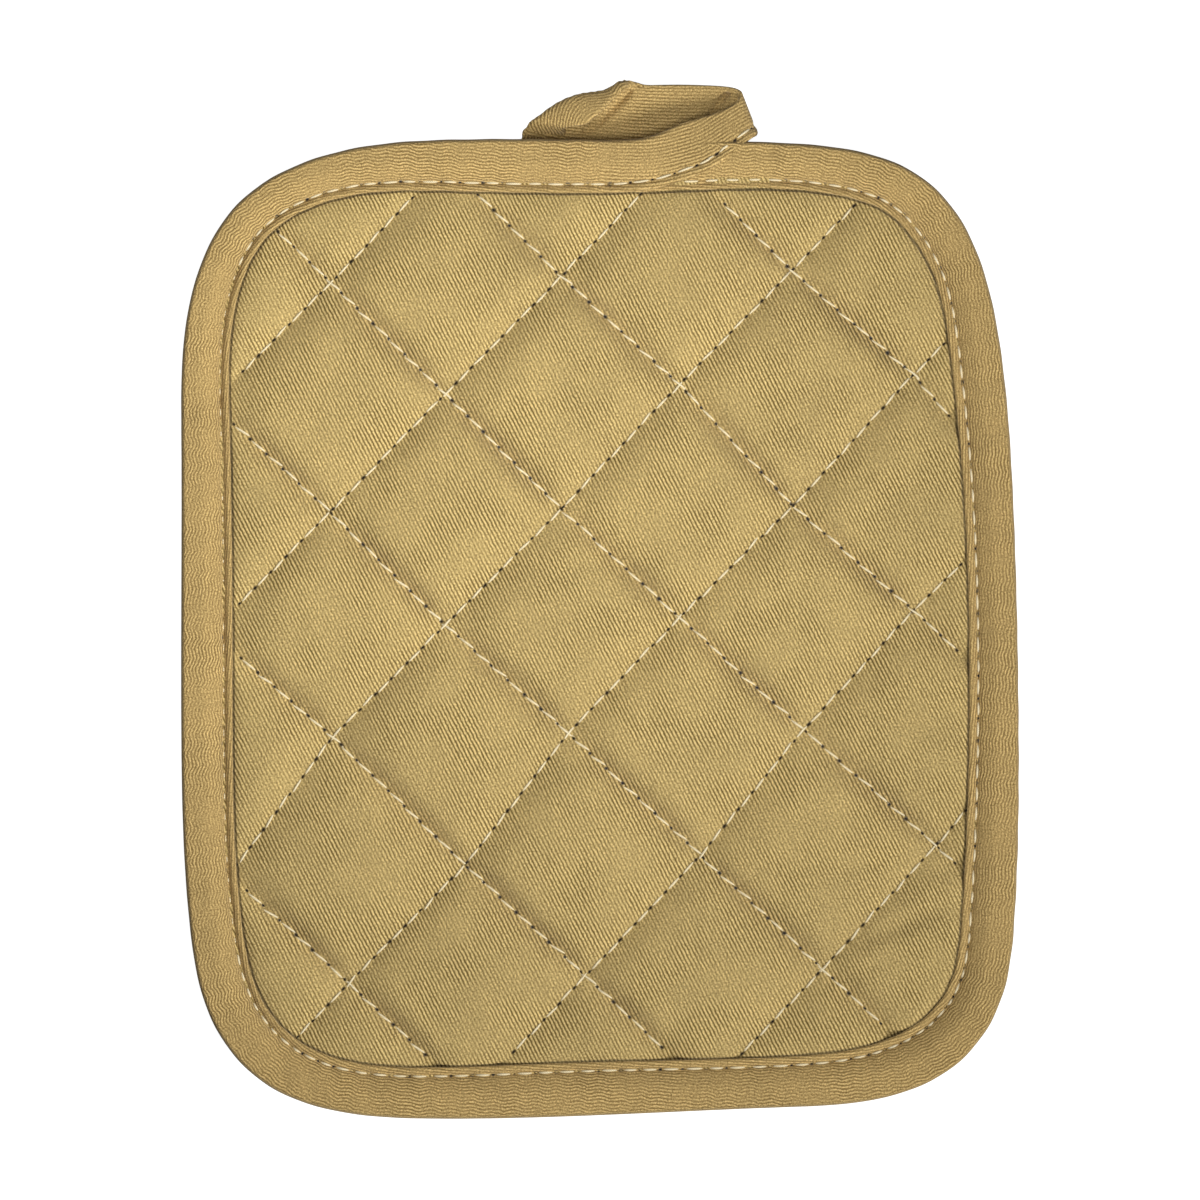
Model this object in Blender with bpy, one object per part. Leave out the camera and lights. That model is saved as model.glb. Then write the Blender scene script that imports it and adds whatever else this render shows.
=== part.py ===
"""Quilted pot holder: a quilted twill pad, the folded tape round its edge and the tape's tail as a hang loop.

It lies on its back, as shown. Metres, +Z up out of the quilted face, +X to the right and +Y towards the loop.
The origin is the centre of the underside's box. The sizes and tables below are in millimetres.
"""

import math

import bmesh
import bpy
import numpy as np
from mathutils import Vector
from mathutils.geometry import delaunay_2d_cdt

MM = 0.001
SHARP_ANGLE = 50  # degrees between two faces, past which their edge isn't shaded smooth
TOUCHING = 1e-4  # points closer than this are one
GAP = 0.3  # between pieces that are sewn together

# Heights. The pad's two faces lie evenly above and below its middle.
MIDDLE = 4.2
SEAM_HALF = 1.2  # half the pad's thickness along a quilting row and inside the tape
LOFT = 3.0  # how far a pillow's crown stands above its rows
PRESSED_LOFT = 4.1  # the same under the pad, before the floor presses the crowns flat
PILLOW_POWER = 0.55  # below 1, so that pillows rise steeply from the rows and are broad on top
EDGE_RUN = 8.0  # how far in from the tape a pillow still slopes down to it
EDGE_CLEAR = 2.2  # width along the tape that is left to the slope alone
DIVISIONS = 6  # of one diamond's side

# The folded tape.
TAPE_PLY = 1.0
TAPE_PUFF = TAPE_PLY + 0.9  # its fullest part, just inside the fold
TAPE_SEWN = TAPE_PLY - 0.3  # where the sewing holds it down
SEWING_INSET = 2.3  # of the sewing from the tape's inner edge
PUFF_SHARES = (0.36, 0.2)  # where the fullest part starts and ends, as shares of the tape's reach
FOLD_WALL = 1.4  # of cloth outside the pad's own edge
FOLD_ROUNDING = 0.8  # how far in from the fold its side is still round
FOLD_SIDE = 0.8  # height of that side above the cloth inside it
PRESSED = 1.2  # how much flatter the tape is where its own tail lies on it or passes under it
TAIL_X = (-1.0, 41.0)  # where the tail lies on it, from x to x
ROOT_X = (-24.0, -2.0)  # where the tail passes under it
TAPE_STATIONS = 144
FINE_STATIONS = 6 * TAPE_STATIONS  # for measuring how far a place lies from the edge
SPLINE_STEP = 0.02  # of the way between two rows of the edge's table

# The tape's tail.
TAIL_STEPS = 5  # between two rows of its table
TAIL_ACROSS = 6  # strips across its width, an even number
TAIL_ROUNDING = 0.4  # thickness of its two edges, as a share of the rest

# The pad's edge, clockwise from the loop: place, x, y, and how far the tape reaches in from there.
EDGE = (
    ("top, under the loop", 8.6, 101.2, 11.6),
    ("top right", 39.4, 100.6, 10.3),
    ("upper right corner starts", 57.2, 98.6, 10.5),
    ("upper right corner", 69.5, 93.8, 10.8),
    ("upper right corner", 78.2, 85.4, 11.2),
    ("upper right corner ends", 83.4, 75.2, 10.8),
    ("right, high", 88.0, 56.0, 11.2),
    ("right", 90.8, 24.0, 10.9),
    ("right, low", 92.1, -28.0, 11.0),
    ("lower right corner starts", 91.2, -70.0, 11.7),
    ("lower right corner", 87.6, -89.5, 11.9),
    ("lower right corner", 78.3, -102.2, 12.5),
    ("lower right corner ends", 63.5, -109.2, 12.1),
    ("bottom right", 40.0, -111.6, 11.2),
    ("bottom", -4.6, -113.5, 11.9),
    ("bottom left", -36.0, -114.1, 11.4),
    ("lower left corner starts", -57.5, -112.5, 11.4),
    ("lower left corner", -74.2, -106.0, 12.1),
    ("lower left corner", -85.2, -92.8, 12.0),
    ("lower left corner ends", -90.2, -72.0, 11.5),
    ("left, low", -92.1, -30.0, 11.4),
    ("left, high", -92.1, 36.0, 10.8),
    ("upper left corner starts", -90.0, 66.5, 10.1),
    ("upper left corner", -80.0, 86.8, 9.8),
    ("upper left corner ends", -60.5, 97.8, 10.0),
    ("top left", -31.0, 101.3, 11.5),
)

# Crossings of the quilting rows, one line of them to a row here: number from the top, x and y at the line's
# middle, pitch along the line, and its rise for each millimetre to the right. Lines alternate by half a pitch.
CROSSINGS = (
    (-1, -8.5, 96.8, 50.8, 0.030),
    (0, -8.5, 71.1, 50.7, 0.026),
    (1, -8.3, 46.4, 51.5, 0.041),
    (2, -8.5, 20.0, 50.9, 0.013),
    (3, -8.3, -4.7, 51.5, 0.032),
    (4, -7.0, -29.3, 51.8, 0.015),
    (5, -3.8, -57.2, 51.8, 0.042),
    (6, -3.2, -82.7, 52.1, 0.030),
    (7, -2.4, -108.5, 52.1, 0.030),
)
LINE_STEP = 25.6  # from one line of crossings to the next, past the table's ends

# The tail, from where it leaves the edge to where it is caught behind it: place, thickness, then x, y and z of
# its folded edge, of its sewn edge and of the crease in which it lies doubled, and how far across the crease is
# from the folded edge, as a share of its width. Where it lies flat, the last four are left out.
TAIL = (
    ("lies on the edge", 0.8, 5.0, 101.9, 7.05, 5.0, 90.6, 7.35),
    ("lies on the edge", 0.9, 13.0, 103.5, 7.0, 14.0, 91.4, 7.45),
    ("leaves the edge", 1.2, 20.2, 105.4, 6.6, 22.8, 94.0, 7.5),
    ("falls to the bend", 1.3, 25.8, 107.2, 5.7, 29.4, 98.4, 7.1),
    ("enters the bend", 1.4, 29.6, 109.2, 5.0, 33.0, 101.2, 6.1),
    ("bend", 1.3, 30.6, 111.2, 4.0, 34.2, 102.2, 4.2),
    ("leaves the bend", 1.2, 28.8, 112.9, 2.7, 32.0, 102.9, 2.4),
    ("back panel", 1.2, 18.0, 113.5, 2.0, 18.0, 101.6, 0.8),
    ("back panel ends", 1.2, 7.6, 113.1, 2.6, 7.2, 100.9, 0.9, 7.6, 113.4, 2.0, 0.08),
    ("doubles over", 1.2, 5.3, 112.2, 4.2, 4.0, 100.9, 1.0, 4.4, 113.5, 3.0, 0.13),
    ("doubles over", 1.2, 3.1, 110.4, 4.9, 0.9, 100.9, 1.0, 0.9, 111.5, 3.4, 0.21),
    ("comes forward", 1.2, -0.6, 106.5, 6.3, -6.5, 101.0, 1.0, -5.0, 110.6, 3.9, 0.39),
    ("lies doubled", 1.2, -3.2, 104.6, 6.0, -11.0, 101.4, 1.0, -8.9, 109.1, 3.8, 0.475),
    ("lies doubled", 1.2, -6.1, 104.2, 5.2, -14.6, 102.0, 1.0, -12.2, 106.7, 3.3, 0.53),
    ("turns down", 1.2, -7.9, 103.7, 3.4, -16.6, 102.3, 0.95, -14.9, 104.3, 2.2, 0.65),
    ("goes under the edge", 1.0, -7.0, 101.9, 0.85, -17.4, 101.3, 0.85),
    ("caught behind", 0.9, -7.2, 97.0, 0.7, -17.9, 97.4, 0.7),
    ("caught behind", 0.9, -7.4, 91.6, 0.7, -18.2, 91.8, 0.7),
)

FABRICS = {
    "quilted_twill": (0.47, 0.33, 0.13, 1.0),
    "tape_twill": (0.42, 0.29, 0.11, 1.0),
}


def clear_scene():
    for obj in list(bpy.data.objects):
        bpy.data.objects.remove(obj, do_unlink=True)


def fabric(name):
    """A matt cloth material in the twill's colour."""
    material = bpy.data.materials.new(name)
    material.use_nodes = True
    shader = material.node_tree.nodes["Principled BSDF"]
    shader.inputs["Base Color"].default_value = FABRICS[name]
    shader.inputs["Roughness"].default_value = 0.9
    shader.inputs["Metallic"].default_value = 0.0
    return material


def add_object(name, bm, material):
    """Puts a finished bmesh, in millimetres, into the scene as one object in metres."""
    bmesh.ops.recalc_face_normals(bm, faces=bm.faces)
    bmesh.ops.scale(bm, vec=Vector((MM, MM, MM)), verts=bm.verts)
    mesh = bpy.data.meshes.new(name)
    bm.to_mesh(mesh)
    bm.free()
    mesh.shade_smooth()
    mesh.set_sharp_from_angle(angle=math.radians(SHARP_ANGLE))
    mesh.materials.append(material)
    obj = bpy.data.objects.new(name, mesh)
    bpy.context.scene.collection.objects.link(obj)
    return obj


def hermite(start, end, start_slope, end_slope, share):
    """The cubic from start to end with these slopes, at a share of the way."""
    swing = share * share * (3 - 2 * share)
    return (
        start + (end - start) * swing
        + start_slope * share * (1 - share) ** 2
        - end_slope * share ** 2 * (1 - share)
    )


def smooth_edge(stations):
    """Evenly spaced stations along the pad's edge: their x and y, their inward directions and the tape's reach.

    A closed cubic spline runs through the table's rows.
    """
    rows = np.array([row[1:] for row in EDGE])
    count = len(rows)
    after = np.roll(rows, -1, axis=0)
    span = np.linalg.norm((after - rows)[:, :2], axis=1)
    matrix = np.zeros((count, count))
    sides = np.zeros_like(rows)
    for here in range(count):
        back = here - 1
        ahead = (here + 1) % count
        matrix[here, back] = span[here]
        matrix[here, here] = 2 * (span[here] + span[back])
        matrix[here, ahead] = span[back]
        sides[here] = 3 * (
            span[here] * (rows[here] - rows[back]) / span[back]
            + span[back] * (rows[ahead] - rows[here]) / span[here]
        )
    slopes = np.linalg.solve(matrix, sides)
    starts = slopes * span[:, None]
    ends = np.roll(slopes, -1, axis=0) * span[:, None]
    fine = np.array([
        hermite(rows[here], after[here], starts[here], ends[here], share)
        for here in range(count)
        for share in np.arange(0, 1, SPLINE_STEP)
    ])
    closed = np.vstack([fine, fine[:1]])
    steps = np.linalg.norm(np.diff(closed[:, :2], axis=0), axis=1)
    travelled = np.concatenate([[0], np.cumsum(steps)])
    at = np.linspace(0, travelled[-1], stations, endpoint=False)
    x, y, reach = (np.interp(at, travelled, closed[:, column]) for column in range(3))
    points = np.column_stack([x, y])
    ahead = np.roll(points, -1, axis=0) - np.roll(points, 1, axis=0)
    ahead /= np.linalg.norm(ahead, axis=1)[:, None]
    inward = np.column_stack([ahead[:, 1], -ahead[:, 0]])
    return points, inward, reach


def crossing(column, line):
    """Where the quilting rows cross: the line's number from the top, and half pitches right of its middle."""
    first = CROSSINGS[0][0]
    last = CROSSINGS[-1][0]
    _, x, y, pitch, rise = CROSSINGS[min(max(line, first), last) - first]
    past = max(line - last, 0) - max(first - line, 0)
    along = column * pitch / 2
    return Vector((x + along, y - past * LINE_STEP + along * rise))


def quilt_place(across, down):
    """The place of quilting coordinates, which are whole numbers on the quilting rows of either slant."""
    left = math.floor(across)
    top = math.floor(down)
    near = crossing(left - top, left + top).lerp(crossing(left + 1 - top, left + 1 + top), across - left)
    far = crossing(left - top - 1, left + top + 1).lerp(crossing(left - top, left + top + 2), across - left)
    return near.lerp(far, down - top)


def inside_tape(places, edge):
    """How far each place lies inside the tape's inner edge, in mm, and below 0 where the tape covers it."""
    points, inward, reach = edge
    nearest = np.argmin(np.linalg.norm(places[:, None] - points[None], axis=2), axis=1)
    depth = np.einsum("ij,ij->i", places - points[nearest], inward[nearest])
    return depth - reach[nearest]


def pillow(across, down, depth):
    """The filling's swell, from 0 on a quilting row or at the tape to 1 on a full crown."""
    swell = abs(math.sin(math.pi * across) * math.sin(math.pi * down))
    edge = min(max((depth - GAP) / EDGE_RUN, 0.0), 1.0)
    return (swell * edge * (2 - edge)) ** PILLOW_POWER


def make_pad(edge):
    """The pad: both faces and the filling, sewn through, as one solid with a pillow in each diamond."""
    points, inward, reach = edge
    rim = points + inward * (FOLD_WALL + GAP)
    tape_line = points + inward * (reach + GAP)[:, None]
    most = math.ceil(np.abs(points).max() / LINE_STEP) * DIVISIONS
    numbers = range(-most, most + 1)
    quilting = [(across / DIVISIONS, down / DIVISIONS) for across in numbers for down in numbers]
    places = np.array([quilt_place(across, down) for across, down in quilting])
    depths = inside_tape(places, smooth_edge(FINE_STATIONS))
    field = [
        (place, pillow(across, down, depth))
        for (across, down), place, depth in zip(quilting, places, depths)
        if depth > EDGE_CLEAR
    ]
    flat = [Vector(place) for place in (*rim, *tape_line)] + [Vector(place) for place, _ in field]
    swells = [0.0] * (2 * TAPE_STATIONS) + [swell for _, swell in field]
    loops = [
        (start + here, start + (here + 1) % TAPE_STATIONS)
        for start in (0, TAPE_STATIONS)
        for here in range(TAPE_STATIONS)
    ]
    inside_loops = 1
    flat, _, faces, origins, _, _ = delaunay_2d_cdt(flat, loops, [], inside_loops, TOUCHING)
    bm = bmesh.new()
    swell_of = bm.verts.layers.float.new("swell")
    verts = [bm.verts.new((place.x, place.y, 0)) for place in flat]
    for vert, origin in zip(verts, origins):
        vert[swell_of] = swells[origin[0]]
    for face in faces:
        bm.faces.new([verts[index] for index in face])
    top = bmesh.ops.extrude_face_region(bm, geom=bm.faces[:])["geom"]
    top = {item for item in top if isinstance(item, bmesh.types.BMVert)}
    for vert in bm.verts:
        if vert in top:
            vert.co.z = MIDDLE + SEAM_HALF + LOFT * vert[swell_of]
        else:
            vert.co.z = max(MIDDLE - SEAM_HALF - PRESSED_LOFT * vert[swell_of], 0.0)
    return add_object("quilted_pad", bm, fabric("quilted_twill"))


def tape_section(reach, flatter):
    """Half of the tape's outline, as (distance in from its fold, height above the pad's middle), from its
    inner edge round to the fold."""
    inner = SEAM_HALF + GAP
    return [
        (reach, inner),
        (reach, inner + TAPE_SEWN - flatter / 2),
        (reach - SEWING_INSET, inner + TAPE_SEWN - flatter / 2),
        (reach * PUFF_SHARES[0], inner + TAPE_PUFF - flatter),
        (reach * PUFF_SHARES[1], inner + TAPE_PUFF - flatter),
        (FOLD_ROUNDING, inner + FOLD_SIDE - flatter / 2),
        (0.0, 0.0),
    ]


def sweep(sections, closed):
    """A bmesh with a skin over these cross-sections, each a list of points, and flat ends unless it is closed."""
    bm = bmesh.new()
    rings = [[bm.verts.new(point) for point in section] for section in sections]
    for near, far in zip(rings, rings[1:] + rings[:1] if closed else rings[1:]):
        for here in range(len(near)):
            ahead = (here + 1) % len(near)
            bm.faces.new((near[here], near[ahead], far[ahead], far[here]))
    if not closed:
        bm.faces.new(rings[0])
        bm.faces.new(rings[-1])
    return bm


def make_binding(edge):
    """The tape round the pad's edge: a fold outside, and two walls that clasp the pad."""
    sections = []
    for point, inward, reach in zip(*edge):
        at_top = point[1] > 0
        under_tail = at_top and TAIL_X[0] < point[0] < TAIL_X[1]
        over_root = at_top and ROOT_X[0] < point[0] < ROOT_X[1]
        front = tape_section(reach, PRESSED if under_tail else 0.0)
        back = tape_section(reach, PRESSED if over_root else 0.0)
        inner = SEAM_HALF + GAP
        outline = front + [(depth, -height) for depth, height in back[-2::-1]]
        outline += [(FOLD_WALL, -inner), (FOLD_WALL, inner)]
        sections.append([
            Vector((*(point + inward * depth), MIDDLE + height)) for depth, height in outline
        ])
    return add_object("edge_binding", sweep(sections, closed=True), fabric("tape_twill"))


def smooth_tail():
    """The tail's stations along a smooth curve through its table's rows: thickness, folded edge, sewn edge,
    crease and the crease's share."""
    rows = []
    for _, thickness, *places in TAIL:
        flat = len(places) == 6
        middle = [(folded + sewn) / 2 for folded, sewn in zip(places[:3], places[3:])]
        rows.append([thickness, *places, *(middle + [0.5] if flat else [])])
    rows = np.array(rows)
    slopes = np.gradient(rows, axis=0)
    stations = [
        hermite(rows[here], rows[here + 1], slopes[here], slopes[here + 1], share / TAIL_STEPS)
        for here in range(len(rows) - 1)
        for share in range(TAIL_STEPS)
    ]
    return [
        (row[0], Vector(row[1:4]), Vector(row[4:7]), Vector(row[7:10]), row[10])
        for row in [*stations, rows[-1]]
    ]


def across_tail(folded, sewn, crease, share):
    """Points across the tail at one station, round its crease, from the folded edge to the sewn one."""
    turn = sewn - folded
    leaves = (crease - folded) * 2 - turn * share
    arrives = (sewn - crease) * 2 - turn * (1 - share)
    steps = TAIL_ACROSS // 2
    near = [hermite(folded, crease, leaves, turn * share, step / steps) for step in range(steps)]
    far = [hermite(crease, sewn, turn * (1 - share), arrives, step / steps) for step in range(steps)]
    return [*near, *far, sewn]


def make_loop():
    """The hang loop: the flat tail of the tape, bent back on itself, then doubled over so that it turns round."""
    stations = smooth_tail()
    lines = [across_tail(*station[1:]) for station in stations]
    sections = []
    for here, line in enumerate(lines):
        half = stations[here][0] / 2
        before = lines[max(here - 1, 0)]
        after = lines[min(here + 1, len(lines) - 1)]
        front = []
        back = []
        for place, point in enumerate(line):
            edge = place in (0, TAIL_ACROSS)
            travel = after[place] - before[place]
            across = line[max(place - 1, 0)] - line[min(place + 1, TAIL_ACROSS)]
            up = travel.cross(across).normalized() * half * (TAIL_ROUNDING if edge else 1.0)
            front.append(point + up)
            back.append(point - up)
        sections.append(front + back[::-1])
    return add_object("hang_loop", sweep(sections, closed=False), fabric("tape_twill"))


def main():
    clear_scene()
    edge = smooth_edge(TAPE_STATIONS)
    make_pad(edge)
    make_binding(edge)
    make_loop()


main()
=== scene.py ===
"""Quilted pot holder: the looks of its twill pad, folded tape, hang loop and sewing, and the studio round it.

It lies on its back with the camera straight above, as the photograph shows it. Blender's units are
metres, with +Z up out of the quilted face, +X to the right and +Y towards the loop. Sizes in the code
are millimetres, and each mesh is turned into metres where it is made.
"""

import math

import bmesh
import bpy
import numpy as np
from bpy.props import FloatProperty, FloatVectorProperty, IntProperty, PointerProperty
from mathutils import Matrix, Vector, noise
from mathutils.bvhtree import BVHTree
from mathutils.kdtree import KDTree


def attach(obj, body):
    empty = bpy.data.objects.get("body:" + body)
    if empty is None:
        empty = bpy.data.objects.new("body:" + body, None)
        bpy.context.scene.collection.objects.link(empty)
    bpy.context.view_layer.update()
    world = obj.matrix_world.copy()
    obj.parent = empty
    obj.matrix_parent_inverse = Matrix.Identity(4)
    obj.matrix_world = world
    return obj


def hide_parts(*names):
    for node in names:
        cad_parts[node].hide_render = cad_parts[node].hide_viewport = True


bl_info = {
    "name": "Quilted pot holder",
    "version": (1, 0, 0),
    "blender": (4, 5, 0),
    "location": "3D View > Sidebar > Pot holder",
    "description": "Makes a quilted pot holder's cloth, hang loop, sewing and studio over its solids",
    "category": "Object",
}

MM = 0.001
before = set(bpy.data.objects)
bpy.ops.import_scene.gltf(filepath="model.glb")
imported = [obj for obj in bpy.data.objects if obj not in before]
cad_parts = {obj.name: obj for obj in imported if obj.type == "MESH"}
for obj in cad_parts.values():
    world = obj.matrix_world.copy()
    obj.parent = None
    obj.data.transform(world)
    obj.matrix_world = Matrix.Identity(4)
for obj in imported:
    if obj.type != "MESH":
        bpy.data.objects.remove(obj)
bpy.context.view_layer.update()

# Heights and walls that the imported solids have.
MIDDLE = 4.2  # of the pad's middle, half way between its faces
SEAM_HALF = 1.2  # half the pad's thickness along a quilting row and inside the tape
GAP = 0.3  # between pieces that are sewn together
FOLD_WALL = 1.4  # of tape outside the pad's own edge
FOLD_SLACK = 0.05  # between the pad's middle and a vertex that counts as the tape's fold
INNER_SLACK = 0.02  # and between the gap's top and one that counts as the tape's inner edge
REACH_RANGE = (5, 16)  # how far in from the fold that inner edge may be

# Crossings of the quilting rows, one line of them to a row here: number from the top, x and y at the
# line's middle, pitch along the line, and its rise for each millimetre to the right. Lines alternate by
# half a pitch.
CROSSINGS = (
    (-1, -8.5, 96.8, 50.8, 0.030),
    (0, -8.5, 71.1, 50.7, 0.026),
    (1, -8.3, 46.4, 51.5, 0.041),
    (2, -8.5, 20.0, 50.9, 0.013),
    (3, -8.3, -4.7, 51.5, 0.032),
    (4, -7.0, -29.3, 51.8, 0.015),
    (5, -3.8, -57.2, 51.8, 0.042),
    (6, -3.2, -82.7, 52.1, 0.030),
    (7, -2.4, -108.5, 52.1, 0.030),
)
LINE_STEP = 25.6  # from one line of crossings to the next, past the table's ends
DIAMOND_SIDE = 36.3
FIRST_ROW = -4  # quilting rows of either slant are numbered from here
LAST_ROW = 8
ROW_NUMBERS = np.arange(FIRST_ROW, LAST_ROW + 1)
ROW_SHIFT = 0.37  # of a stitch, by which each row starts later than the one before

# Creases that show on the pad's face: from x, y to x, y, width and depth.
CREASES = (
    (61.4, 26.4, 74.6, 17.6, 1.8, 0.7),
    (62.0, 19.8, 79.0, 14.0, 1.6, 0.4),
    (61.4, -23.1, 74.6, -30.8, 1.8, 0.7),
    (39.4, -48.4, 59.2, -46.2, 2.0, 0.6),
    (52.6, -59.4, 70.2, -55.0, 1.8, 0.8),
    (68.7, -57.2, 79.9, -62.0, 1.6, 0.6),
    (58.0, -74.6, 77.0, -66.8, 2.2, 1.3),
    (56.0, -82.0, 66.0, -78.0, 1.8, 0.5),
    (10.8, -17.6, 11.9, -30.8, 2.0, 0.35),
    (-5.7, -50.6, -5.7, -70.4, 2.0, 0.35),
    (-44.2, -81.4, -33.2, -96.8, 2.0, 0.4),
    (-17.8, 8.8, -8.5, 6.2, 1.8, 0.55),
    (-8.5, 6.2, 2.0, 8.8, 1.8, 0.55),
    (-64.0, 39.5, -61.0, 36.5, 1.4, 0.5),
)

# The tape's tail, from where it leaves the edge to where it is caught behind it: thickness, then x, y and
# z of its folded edge, of its sewn edge and of the crease in which it lies doubled, and how far across the
# crease is from the folded edge, as a share of its width. Where it lies flat, the last four are left out.
TAIL = (
    (0.8, 0.0, 101.4, 7.05, 0.0, 90.2, 7.35),
    (0.8, 5.0, 101.9, 7.05, 5.0, 90.6, 7.35),
    (0.9, 13.0, 103.5, 7.0, 14.0, 91.4, 7.45),
    (1.2, 20.2, 105.4, 6.6, 22.8, 94.0, 7.5),
    (1.3, 25.8, 107.2, 5.7, 29.4, 98.4, 7.1),
    (1.4, 29.6, 109.2, 5.0, 33.0, 101.2, 6.1),
    (1.3, 30.6, 111.2, 4.0, 34.2, 102.2, 4.2),
    (1.2, 28.8, 112.9, 2.7, 32.0, 102.9, 2.4),
    (1.2, 18.0, 113.5, 2.0, 18.0, 101.6, 0.8),
    (1.2, 7.6, 113.1, 2.6, 7.2, 100.9, 0.9, 7.6, 113.4, 2.0, 0.08),
    (1.2, 5.3, 112.2, 4.2, 4.0, 100.9, 1.0, 4.4, 113.5, 3.0, 0.13),
    (1.2, 3.1, 110.4, 4.9, 0.9, 100.9, 1.0, 0.9, 111.5, 3.4, 0.21),
    (1.2, -0.6, 106.5, 6.3, -6.5, 101.0, 1.0, -5.0, 110.6, 3.9, 0.39),
    (1.2, -3.2, 104.6, 6.0, -11.0, 101.4, 1.0, -8.9, 109.1, 3.8, 0.475),
    (1.2, -6.1, 104.2, 5.2, -14.6, 102.0, 1.0, -12.2, 106.7, 3.3, 0.53),
    (1.2, -7.9, 103.7, 3.4, -16.6, 102.3, 0.95, -14.9, 104.3, 2.2, 0.65),
    (1.0, -7.0, 101.9, 0.85, -17.4, 101.3, 0.85),
    (0.9, -7.2, 97.0, 0.7, -17.9, 97.4, 0.7),
    (0.9, -7.4, 91.6, 0.7, -18.2, 91.8, 0.7),
)

PRESSED = 1.2  # how much flatter the edge tape is where its tail lies on it or passes under it
TAIL_X = (-0.2, 41.0)  # where the tail lies on it, from x to x
ROOT_X = (-24.0, -2.0)  # where the tail passes under it


def srgb(code):
    """A linear colour from an sRGB hex code."""
    values = [int(code[place:place + 2], 16) / 255 for place in (1, 3, 5)]
    linear = [v / 12.92 if v <= 0.04045 else ((v + 0.055) / 1.055) ** 2.4 for v in values]
    return (*linear, 1.0)


def length_setting(name, description, millimetres):
    """A length in a PropertyGroup, given in millimetres."""
    return FloatProperty(name=name, description=description, default=millimetres * MM, unit="LENGTH")


def colour_setting(name, description, code):
    """A colour in a PropertyGroup, given as an sRGB hex code."""
    return FloatVectorProperty(
        name=name, description=description, subtype="COLOR", size=4, default=srgb(code)
    )


class PadSettings(bpy.types.PropertyGroup):
    """Sizes and colours of the quilted pad."""

    loft: length_setting("Loft", "How far a pillow's crown stands above the deeper rows", 3.6)
    pressed_loft: length_setting(
        "Loft below", "The same under the pad, before the table presses the crowns flat", 4.4
    )
    rising_valley: length_setting(
        "Rising valley", "How far a pillow slopes down to a row that rises to the right", 4.6
    )
    falling_valley: length_setting(
        "Falling valley", "How far a pillow slopes down to a row that falls to the right", 2.7
    )
    edge_run: length_setting("Edge run", "How far a pillow slopes down to the tape", 6.0)
    pucker: length_setting("Pucker", "How far each stitch pulls the cloth down", 0.45)
    divisions: IntProperty(name="Divisions", description="Mesh faces along a diamond's side", default=36)
    rib_colour: colour_setting("Rib colour", "The twill's raised ribs", "#E8CC88")
    # Painted shade: the gaps between the ribs are coloured darker than the ribs, to stand for the shade that
    # falls in them.
    shaded_gap_colour: colour_setting("Gap colour", "The gaps between its ribs", "#58441A")


class TapeSettings(bpy.types.PropertyGroup):
    """Sizes and colours of the folded tape and the hang loop made from its tail."""

    ply: length_setting("Ply", "Thickness of one folded wall", 0.5)
    puff: length_setting("Puff", "Extra fullness between the sewing and the fold", 2.4)
    lip: length_setting("Lip", "How far the inner edge swells up beside the sewing", 0.3)
    sewing_inset: length_setting("Sewing inset", "From the tape's inner edge to its sewing", 2.0)
    stations: IntProperty(name="Stations", description="Mesh rows round the pad", default=720)
    rib_colour: colour_setting("Rib colour", "The twill's raised ribs", "#E2C280")
    # Painted shade: the gaps between the ribs are coloured darker than the ribs, to stand for the shade that
    # falls in them.
    shaded_gap_colour: colour_setting("Gap colour", "The gaps between its ribs", "#5A431A")


class SewingSettings(bpy.types.PropertyGroup):
    """Sizes and colour of the thread and its stitches."""

    thickness: length_setting("Thread", "Width of the thread", 0.5)
    quilting_pitch: length_setting("Quilting stitch", "From one needle hole to the next", 4.85)
    edge_pitch: length_setting("Edge stitch", "The same along the tape", 4.7)
    colour: colour_setting("Colour", "The thread", "#FFEFC4")


class StudioSettings(bpy.types.PropertyGroup):
    """The camera and the lights."""

    distance: FloatProperty(
        name="Camera height", description="Of the camera above the pad", default=2.0, unit="LENGTH"
    )
    frame_width: FloatProperty(
        name="Frame width", description="Of what the camera sees of the table", default=0.264, unit="LENGTH"
    )
    key: FloatProperty(
        name="Key light", description="Power of the light from the lower right", default=94.0, unit="POWER"
    )
    top: FloatProperty(
        name="Top light", description="Power of the near light over the pad", default=0.37, unit="POWER"
    )
    sky: FloatProperty(name="Sky", description="Strength of the even white light from all round", default=0.1)


class PotHolderSettings(bpy.types.PropertyGroup):
    """All settings of the pot holder."""

    pad: PointerProperty(type=PadSettings)
    tape: PointerProperty(type=TapeSettings)
    sewing: PointerProperty(type=SewingSettings)
    studio: PointerProperty(type=StudioSettings)


# Shapes


def soft_noise(places, size, seed):
    """Smooth unevenness from about -1 to 1 at these places, with lumps of this size in mm."""
    return np.array([noise.noise(Vector((x / size, y / size, seed))) for x, y in places])


def smooth_step(share):
    share = np.clip(share, 0, 1)
    return share * share * (3 - 2 * share)


def quarter_round(distance, radius):
    """Height, from 0 to 1, of a rounded edge at this distance in from it."""
    return np.sqrt(1 - (1 - np.clip(distance / radius, 0, 1)) ** 2)


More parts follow.
